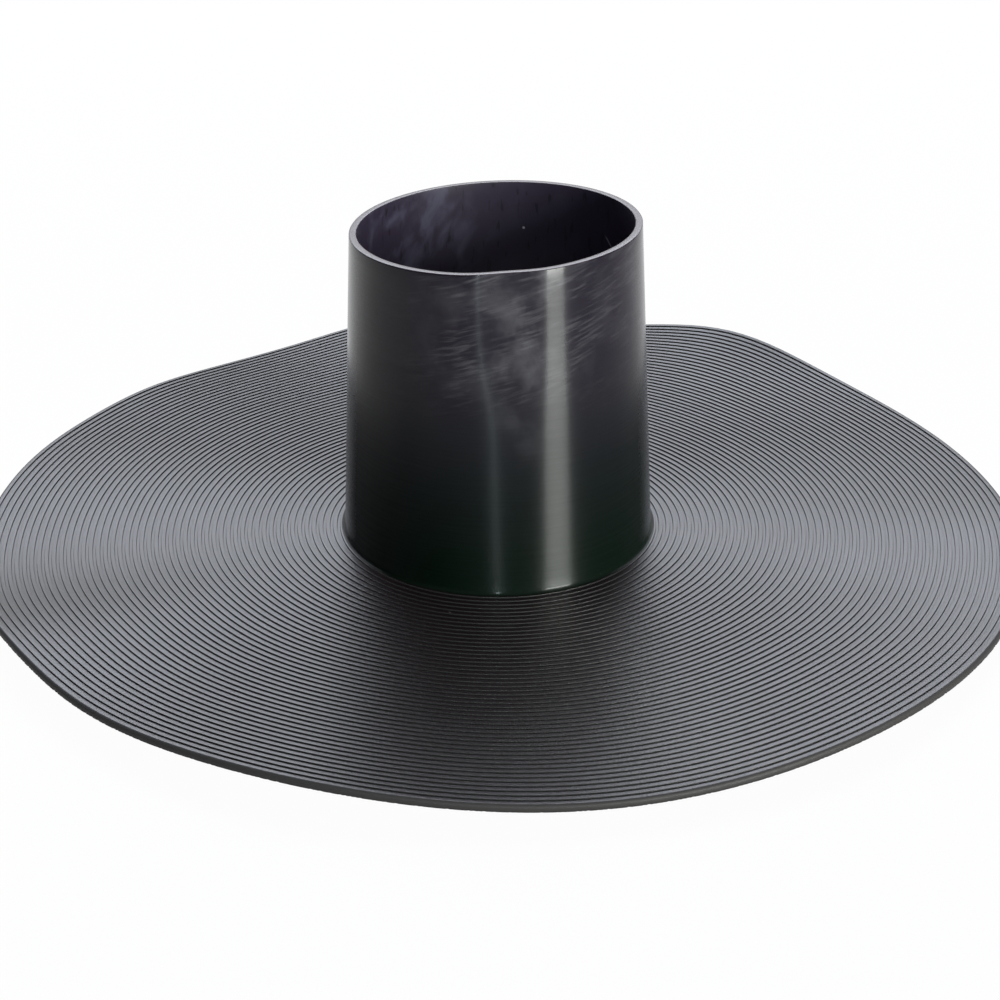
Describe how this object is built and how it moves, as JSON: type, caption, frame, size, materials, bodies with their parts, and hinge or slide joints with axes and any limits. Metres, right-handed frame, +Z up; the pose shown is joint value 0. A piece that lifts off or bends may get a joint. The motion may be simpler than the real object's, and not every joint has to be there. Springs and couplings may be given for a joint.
{
  "type": "vapour barrier pipe seal",
  "caption": "Soft black rubber pipe seal: a tapered open collar that grips a pipe, on a broad thin round flange with fine concentric grooves for bonding to a vapour barrier.",
  "frame": {"origin": "on the floor plane that the flange rests on, under the centre of the round flange and of the collar's foot", "axes": "+Z up along the collar, +X to the right and -Y to the front as the part is seen in the picture"},
  "size_m": [0.3632, 0.3632, 0.1174],
  "materials": {
    "rubber": "satin"
  },
  "bodies": {
    "root": {"pipe_seal": "rubber"}
  },
  "joints": []
}
